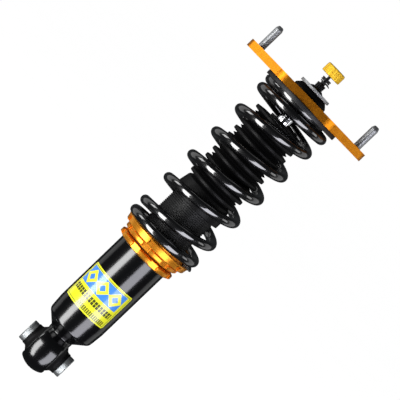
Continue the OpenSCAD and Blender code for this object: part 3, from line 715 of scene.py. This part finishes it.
# %% [markdown]
# ## Lock rings and spring perch
#
# Both lock rings and the perch are turned from gold aluminium, then notched so that a hook spanner can
# grip them. The blank is a lathe outline, the notches are boxes cut away with a boolean, and a small bevel
# breaks every edge. Pushing in some faces of the blank would be quicker, but it would tie the notches'
# width to the ring's facets. The thin bright lines at the notches come from the bevel.

# %% Notched rings
def notched(name, outline, count, width, depth, radius, low, high, phase):
    """Turns a blank and cuts count notches into it; each cutter stands 6 mm out of the blank."""
    blank = as_object(name, revolve(outline, 144))
    length = depth + 6
    centre = (radius - depth + length / 2, 0, (low + high) / 2)
    for i in range(count):
        turn = math.radians(phase + i * 360 / count - 90)
        cut(blank, block((length, width, high - low), centre, turn))
    return bevelled(blank, 0.22)


def lock_ring_outline(low, top):
    return [(25.06, low), (30.3, low), (33.5, low + 1.6), (33.5, top - 1.6), (30.3, top), (25.06, top)]


for name, low, top, body, node, phase in (
        ("body_lock_ring", 132.0, 138.6, "bracket_ring", "bracket_lock_ring", 24.5),
        ("spring_lock_ring", 139.8, 146.4, "perch_ring", "perch_lock_ring", -8)):
    shape = notched(name, lock_ring_outline(low, top), 8, 9.4, 2.2, 33.5, low - 1, top + 1, phase)
    place(name, shape, body, turned_gold, [node], sharp=30, milled=True)

perch_outline = [(25.06, 146.5), (37.45, 146.5), (38.05, 147.1), (38.85, 151.8), (39.25, 152.0),
                 (39.25, 153.0), (38.85, 153.4), (32.2, 153.4), (32.2, 156.9), (30.7, 158.4), (25.06, 158.4)]
shape = notched("spring_seat_perch", perch_outline, 6, 6.7, 3.0, 39.25, 145.4, 151.8, -5)
place("spring_seat_perch", shape, "perch", turned_gold, ["spring_perch"], sharp=30, milled=True)

# %% [markdown]
# ## The threaded body
#
# The damper body carries a rolled 2 mm thread, and both lock rings and the perch run on it. The lower end,
# which never leaves the sleeve, stays plain here. A bump map would flatten out at the silhouette, so the
# thread is geometry. The radius falls and rises once for each 2 mm of height, and the angle shifts that
# wave so that it climbs as a right-hand helix. The thread fades out at both ends.

# %% The damper body
FLANK_SLOPE, CREST_SHARE = 2.6, 0.8


def threaded(crest, depth, pitch, low, high, step, steps=96):
    """Rings of a right-hand thread that fades out at both ends."""
    stack = []
    for k in range(int(round((high - low) / step)) + 1):
        height = low + k * step
        fade = min(1.0, (height - low) / pitch, (high - height) / pitch)

        def radius(a, height=height, fade=fade):
            t = (height / pitch - a / TURN) % 1.0
            flank = min(1.0, max(0.0, FLANK_SLOPE * abs(2 * t - 1) - CREST_SHARE))
            return crest - depth * fade * flank
        stack.append(ring(radius, height, steps))
    return stack


body_rings = rings([(22.0, 66.5), (22.5, 66.0), (24.4, 66.0), (25.0, 66.6), (25.0, 97.0)])
body_rings += threaded(25.0, 0.75, 2.0, 98.0, 211.0, 0.25)
body_rings += rings([(25.0, 212.0), (25.0, 213.4), (24.4, 214.0), (22.5, 214.0), (22.0, 213.5)])
place("threaded_body", skin(body_rings, closed=True), "tube", tube_coat, ["damper_tube"], sharp=50)

# %% [markdown]
# ## The coil spring
#
# The spring is wound from 10 mm wire with nearly eight turns. The end turns are closed and ground flat, so
# the pitch changes along the wire: tight, then a smooth change to the free pitch, and the same again at
# the top. A curve with a bevel would make the wire, but not the ground ends, so we place each ring of the
# wire and flatten what lies beyond the two seats. The ground faces stop a hair short of the seats, because
# two faces in one plane render as noise.

# %% The wire's path
SPRING_Z, SPRING_LEN, TURNS, COIL_R, WIRE_R = 153.4, 185.3, 7.9, 37.7, 5.0
GROUND_GAP, START = 0.04, math.radians(-15)
CLOSED_PITCH, CLOSED_TURNS, FREE_FROM, END_DROP = 10.2, 1.15, 1.7, -1.8
change = FREE_FROM - CLOSED_TURNS
closed_rise = END_DROP + CLOSED_PITCH * CLOSED_TURNS + CLOSED_PITCH * change / 2
free_pitch = (SPRING_LEN / 2 - closed_rise) / (TURNS / 2 - FREE_FROM + change / 2)
print("free pitch:", round(free_pitch, 2), "mm")


def end_rise(t):
    """The wire's height over its seat, t turns from the end."""
    b = t - CLOSED_TURNS
    if t < CLOSED_TURNS:
        return END_DROP + CLOSED_PITCH * t
    if t < FREE_FROM:
        return END_DROP + CLOSED_PITCH * t + (free_pitch - CLOSED_PITCH) * b * b / (2 * change)
    return closed_rise + free_pitch * (b - change / 2)


def wire_height(t):
    return end_rise(t) if t < TURNS / 2 else SPRING_LEN - end_rise(TURNS - t)


# %% The wire
wire_rings, sides = [], 24
count = int(TURNS * 96)  # 96 rings a turn
for i in range(count + 1):
    t = TURNS * i / count
    a = START + TURN * t
    points = []
    below = max(-wire_height(t), wire_height(t) - SPRING_LEN, 0.0)
    reach = math.sqrt(WIRE_R ** 2 - below ** 2)
    for k in range(sides):
        b = TURN * k / sides
        r = COIL_R + min(max(WIRE_R * math.cos(b), -reach), reach)
        rise = min(max(wire_height(t) + WIRE_R * math.sin(b), GROUND_GAP), SPRING_LEN - GROUND_GAP)
        points.append((r * math.cos(a), r * math.sin(a), SPRING_Z + rise))
    wire_rings.append(points)
caps = [[tuple(sum(c) / sides for c in zip(*points))] for points in (wire_rings[0], wire_rings[-1])]
spring = place("wound_spring", skin([caps[0]] + wire_rings + [caps[1]]),
               "tube", spring_black, ["coil_spring"])
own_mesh(spring)

# %% [markdown]
# ## The bellows boot
#
# The boot keeps grit off the rod. It grips the rod at the top with a collar, folds down in ten broad ribs
# with a thin pointed rib between each pair, and ends in a cuff over the body. An array modifier could
# repeat one rib, but a loop also draws the inside wall and the two ends in one outline. Moulded rubber has
# no sharp edge, so every corner is rounded before the outline is turned.

# %% The boot
RIBS, RIB_R, POINT_R, VALLEY_R, WALL = 10, 29.3, 26.7, 23.3, 1.5
first_rib, last_rib = 310.7, 224.6
rib_pitch = (first_rib - last_rib) / (RIBS - 1)
outside_line = [(13.4, 316.4, 0.6), (13.4, 313.8, 0.5), (21.3, 313.6, 0.8)]
inside_line = [(7.35, 316.4, 0.3), (7.35, 311.5, 0.5), (20.3, 312.0, 0.6)]
for i in range(RIBS):
    z = first_rib - i * rib_pitch
    outside_line += [(RIB_R, z + 1.7, 0.7), (RIB_R, z - 1.7, 0.7), (VALLEY_R, z - 3.0, 0.8)]
    inside_line += [(RIB_R - WALL, z + 0.6), (RIB_R - WALL, z - 0.6), (VALLEY_R - WALL, z - 3.0)]
    if i < RIBS - 1:
        outside_line += [(POINT_R, z - rib_pitch / 2, 0.5), (VALLEY_R, z - rib_pitch + 3.0, 0.8)]
        inside_line += [(POINT_R - WALL, z - rib_pitch / 2), (VALLEY_R - WALL, z - rib_pitch + 3.0)]
outside_line += [(26.9, 219.4, 1.0), (29.2, 208.4, 2.5), (29.2, 200.4, 0.4)]
inside_line += [(25.4, 218.8, 0.6), (27.7, 208.4, 2.0), (27.7, 200.4, 0.4)]
boot = place("bellows_boot", revolve(rounded(outside_line + inside_line[::-1], 0.3, 2), 112),
             "tube", boot_rubber, ["dust_boot"], sharp=60)
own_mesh(boot)

# %% [markdown]
# ## Rod and bump stop
#
# Inside the boot runs the hard-chromed rod, with a foam bump stop round it, held by a washer and a snap
# ring. The rod narrows to a threaded end that passes up through the mount. Its two lengths differ in
# finish, so they are two pieces that stand for one model node. The bump stop has two waists.

# %% The rod's two lengths and the bump stop
BUMP_TOP, BUMP_KEEP = 300.0, 0.643
chromed = rounded([(2.6, 196.5), (6.6, 196.5, 0.3), (7.0, 197.0, 0.3), (7.0, 301.9, 0.1), (6.3, 302.0, 0.1),
                   (6.3, 303.4, 0.1), (7.0, 303.5, 0.1), (7.0, 324.6, 0.3), (6.4, 325.2, 0.2),
                   (2.6, 325.2)], 0.1)
place("chromed_rod", revolve(chromed, 96), "rod", chrome, ["piston_rod"])
rod_end = rings([(2.6, 325.22), (4.95, 325.22), (4.95, 355.0)], 72)
rod_end += threaded(5.0, 0.5, 1.0, 355.5, 368.0, 0.125, 72)
rod_end += rings([(4.6, 368.5), (4.3, 368.78), (3.6, 368.78), (3.56, 362.3), (2.6, 362.2)], 72)
place("rod_thread", skin(rod_end, closed=True), "rod", black_oxide, ["piston_rod"], sharp=50)
stop = rounded([(7.06, 258.0), (10.5, 258.0, 1.0), (14.0, 262.0, 2.0), (14.0, 268.0, 2.0), (12.5, 272.0, 2.0),
                (16.5, 276.0, 2.0), (16.5, 282.0, 2.0), (12.5, 286.0, 2.0), (16.5, 290.0, 2.0),
                (16.5, BUMP_TOP, 0.6), (7.06, BUMP_TOP)], 0.3)
bump = place("foam_bump_stop", revolve(stop, 72), "rod", foam, ["bump_stop"], sharp=50)
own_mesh(bump)

# %% [markdown]
# ## The top mount, from the spring up
#
# A bright washer and a round rubber sit on the rod's shoulder. Above them come the dark spring seat, the
# gold plate, a tapered rubber and a dished washer. All are turned, apart from the plate, so a table of
# outlines and one loop make them. Their edges are rounded generously where they are rubber and finely
# where they are metal.

# %% Washers, rubbers and the spring seat
mount_outlines = (
    ("lower_rubber_washer", "lower_mount_washer", washer_zinc,
     [(5.05, 325.2), (16.9, 325.2, 0.5), (16.9, 327.6, 0.5), (5.05, 327.6)]),
    ("lower_rubber", "lower_mount_rubber", bush_rubber,
     [(8.05, 327.6), (15.9, 327.6, 1.0), (16.3, 331.2, 3.0), (16.3, 343.3, 0.1), (12.95, 343.3, 0.1),
      (12.95, 347.3), (8.05, 347.3)]),
    ("upper_seat_disc", "upper_spring_seat", satin_black,
     [(16.6, 333.7), (30.7, 333.7, 0.3), (32.2, 335.2, 0.3), (32.2, 338.7, 0.1), (45.0, 338.7, 0.6),
      (45.0, 343.3, 0.6), (16.6, 343.3)]),
    ("upper_rubber", "upper_mount_rubber", bush_rubber,
     [(8.05, 347.5), (12.95, 347.5), (12.95, 351.0, 0.1), (19.8, 351.0, 0.2), (19.8, 353.4, 0.9),
      (15.4, 358.0, 0.5), (11.45, 358.0, 0.1), (11.45, 354.0, 0.1), (8.05, 354.0)]),
    ("dished_top_washer", "dished_washer", washer_zinc,
     [(5.05, 354.0), (11.4, 354.0, 0.5), (11.4, 358.0, 0.1), (18.0, 358.0, 0.6), (18.0, 361.0, 0.6),
      (9.6, 361.0, 1.0), (9.6, 356.0, 0.4), (5.05, 356.0)]),
)
for name, node, finish, outline in mount_outlines:
    place(name, revolve(rounded(outline, 0.15), 96), "rod", finish, [node])

# %% [markdown]
# ## The gold plate
#
# The plate is milled from flat bar: a rounded nose round each stud, slanted sides and two flats. Its
# outline is the shape a belt would take if it were pulled round six discs. That shape is extruded, bored,
# recessed and drilled. Its edges are chamfered, because the thin bright line round the plate is that
# chamfer.

# %% The plate's outline
PLATE_LOW, PLATE_TOP, STUD_X = 343.3, 351.5, 65.7
discs = [(STUD_X, 0, 11.4), (25, 22, 20), (-25, 22, 20), (-STUD_X, 0, 11.4), (-25, -22, 20), (25, -22, 20)]


def belt(discs, step=6):
    """The outline of a belt pulled round discs that are listed anticlockwise."""
    normals = []
    for (x0, y0, r0), (x1, y1, r1) in zip(discs, discs[1:] + discs[:1]):
        along = math.atan2(y1 - y0, x1 - x0)
        gap = math.hypot(x1 - x0, y1 - y0)
        normals.append(along - math.acos((r0 - r1) / gap))
    outline = []
    for i, (x, y, r) in enumerate(discs):
        first, last = normals[i - 1], normals[i]
        sweep = (last - first) % TURN
        pieces = max(2, int(math.degrees(sweep) / step))
        for k in range(pieces + 1):
            a = first + sweep * k / pieces
            outline.append((x + r * math.cos(a), y + r * math.sin(a)))
    return outline


plate_line = belt(discs)
plate = as_object("strut_plate", skin([[(0, 0, PLATE_LOW)], [(x, y, PLATE_LOW) for x, y in plate_line],
                                       [(x, y, PLATE_TOP) for x, y in plate_line], [(0, 0, PLATE_TOP)]]))


# %% Boring, recess, stud holes and chamfers
def drill(radius, low, high, x=0.0, steps=96):
    tool = skin([[(x, 0, low)]] + [[(px + x, py, pz) for px, py, pz in ring(radius, z, steps)]
                                   for z in (low, high)] + [[(x, 0, high)]])
    return as_object("cutter", tool)


BELOW, ABOVE, RECESS, STUD_HOLE = 340, 355, 351.0, 4.65
cut(plate, drill(13.0, BELOW, ABOVE), drill(20.1, RECESS, ABOVE),
    drill(STUD_HOLE, BELOW, ABOVE, -STUD_X, 48), drill(STUD_HOLE, BELOW, ABOVE, STUD_X, 48))
bevelled(plate, 0.55, 2, 40)
place("strut_plate", plate, "rod", milled_gold, ["top_plate"], sharp=30, milled=True)

# %% [markdown]
# ## Studs, nut and what stands on the rod
#
# Two M8 studs are pressed into the plate. Their shank is a little wider in the plate, the thread starts
# above it, and a plain pilot nose guides the nut. The rod's nut is a chamfered hexagon with a cone on top:
# its radius is that of a hexagon or of a cone, whichever is smaller at each height.

# %% Studs
for name, x in (("stud_left", -STUD_X), ("stud_right", STUD_X)):
    rows = [[(0, 0, PLATE_LOW)]]
    rows += rings([(4.1, PLATE_LOW), (4.6, 343.8), (4.6, 351.3), (4.0, PLATE_TOP), (4.0, 352.2)], 64)
    rows += threaded(4.0, 0.1, 1.25, 352.4, 374.2, 0.15, 64)
    rows += rings([(4.0, 374.7), (3.85, 375.2), (2.9, 377.7), (2.4, 378.2), (1.6, 378.48)], 64)
    rows.append([(0, 0, 378.5)])
    shape = skin([[(px + x, py, pz) for px, py, pz in row] for row in rows])
    place(name, shape, "rod", stud_zinc, ["plate_studs"], sharp=50)

# %% The rod's nut
NUT_FLATS = 16.0


def hexagon(a):
    return NUT_FLATS / 2 / math.cos((a % (TURN / 6)) - TURN / 12)


rows = rings([(5.05, 356.05), (7.9, 356.05)], 120)
for height, cap in ((356.35, 8.7), (356.8, 9.3), (360.6, 9.3), (361.0, 8.8), (361.4, 8.1)):
    rows.append(ring(lambda a, cap=cap: min(cap, hexagon(a)), height, 120))
rows += rings([(7.8, 361.5), (6.0, 362.8), (5.6, 363.08), (5.06, 363.1)], 120)
place("hex_rod_nut", skin(rows, closed=True), "rod", black_oxide, ["rod_nut"], sharp=30)

# %% [markdown]
# ## The damping adjuster
#
# A small stem stands out of the hollow rod, with a spring clip, a collar and the pin that carries the
# knob. Turning the knob turns the pin and moves a needle deep inside. The knob is fluted for the fingers:
# its radius dips twelve times a turn, and its top edge is rounded. A shallow turned recess keeps the top
# from looking like a blank disc.

# %% Stem, collar and pin
small_outlines = (
    ("adjuster_stem_turned", "adjuster_stem", "rod",
     [(1.56, 362.2), (3.5, 362.2, 0.2), (3.5, 368.8, 0.1), (2.65, 368.8, 0.1), (2.65, 371.6, 0.3),
      (2.3, 372.0, 0.2), (1.56, 372.0)]),
    ("adjuster_collar_turned", "adjuster_collar", "rod",
     [(1.56, 372.4), (5.1, 372.4, 0.5), (5.1, 373.6, 0.15), (4.5, 373.75, 0.15), (4.5, 374.35, 0.15),
      (5.1, 374.5, 0.15), (5.1, 375.7, 0.6), (1.56, 375.7)]),
    ("adjuster_pin_turned", "adjuster_pin", "knob",
     [(0.0, 362.4, 0), (1.2, 362.4, 0.1), (1.5, 362.8, 0.1), (1.5, 384.6, 0.1), (1.1, 385.0, 0.1),
      (0.0, 385.0, 0)]),
)
for name, node, body, outline in small_outlines:
    place(name, skin([[(0, 0, z)] if r == 0 else ring(r, z, 48) for r, z in rounded(outline, 0.1)],
                     closed=outline[0][0] > 0), body, black_oxide, [node])

# %% The knob
KNOB_R, FLUTES, FLUTE_DEPTH, FLUTE_R = 10.8, 12, 0.45, 2.6
KNOB_ROUND, KNOB_STEPS = 1.8, 192


def fluted(reach):
    """A circle with round flutes; reach is the radius between flutes."""
    def radius(a):
        away = (a + TURN / FLUTES / 2) % (TURN / FLUTES) - TURN / FLUTES / 2
        centre = KNOB_R + FLUTE_R - FLUTE_DEPTH
        inside = FLUTE_R ** 2 - (centre * math.sin(away)) ** 2
        dip = centre * math.cos(away) - math.sqrt(inside) if inside > 0 else reach
        return min(reach, dip)
    return radius


profile = [(1.56, 385.1), (1.56, 379.0), (9.9, 379.0), (fluted(10.4), 379.05), (fluted(10.7), 379.25),
           (fluted(KNOB_R), 379.6), (fluted(KNOB_R), 383.0)]
for k in range(9):
    a = math.radians(90 * k / 8)
    profile.append((fluted(KNOB_R - KNOB_ROUND + KNOB_ROUND * math.cos(a)), 387.2 + KNOB_ROUND * math.sin(a)))
profile += [(8.2, 389.0), (8.0, 388.8), (7.7, 388.7), (2.0, 388.7), (1.5, 388.3)]
rows = [[(0, 0, 385.1)]] + rings(profile, KNOB_STEPS) + [[(0, 0, 388.0)]]
place("fluted_knob", skin(rows), "knob", knob_gold, ["adjuster_knob"], sharp=40)

# %% [markdown]
# ## The pieces that keep their model's shape
#
# Inside the body and the mount are the seals, the guide, the piston, the floating piston and their small
# parts. Their engineering shapes are already right, so they keep them and only get their finish: turned
# alloy, machined steel, seal rubber, brass and bronze-filled plastic.

# %% Finishes for the inner pieces
inner_finishes = {
    "tube_plug": alloy, "plug_o_ring": seal_rubber, "gas_fill_screw": brass, "gland_nut": black_oxide,
    "rod_guide": alloy, "guide_o_ring": seal_rubber, "rod_seal": seal_rubber, "dust_wiper": seal_rubber,
    "floating_piston": alloy, "floating_piston_o_ring": seal_rubber, "piston_band": band_plastic,
    "piston": steel, "compression_shims": steel, "rebound_shims": steel, "piston_nut": steel,
    "rebound_stop": foam, "bump_stop_washer": zinc, "rod_snap_ring": steel, "mount_inner_sleeve": steel,
    "adjuster_clip": black_oxide, "knob_set_screw": black_oxide, "metering_rod": alloy,
}
for name, finish in inner_finishes.items():
    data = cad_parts[name].data
    if data.materials:
        for i in range(len(data.materials)):
            data.materials[i] = finish
    else:
        data.materials.append(finish)
print(len(inner_finishes), "nodes keep their shape")
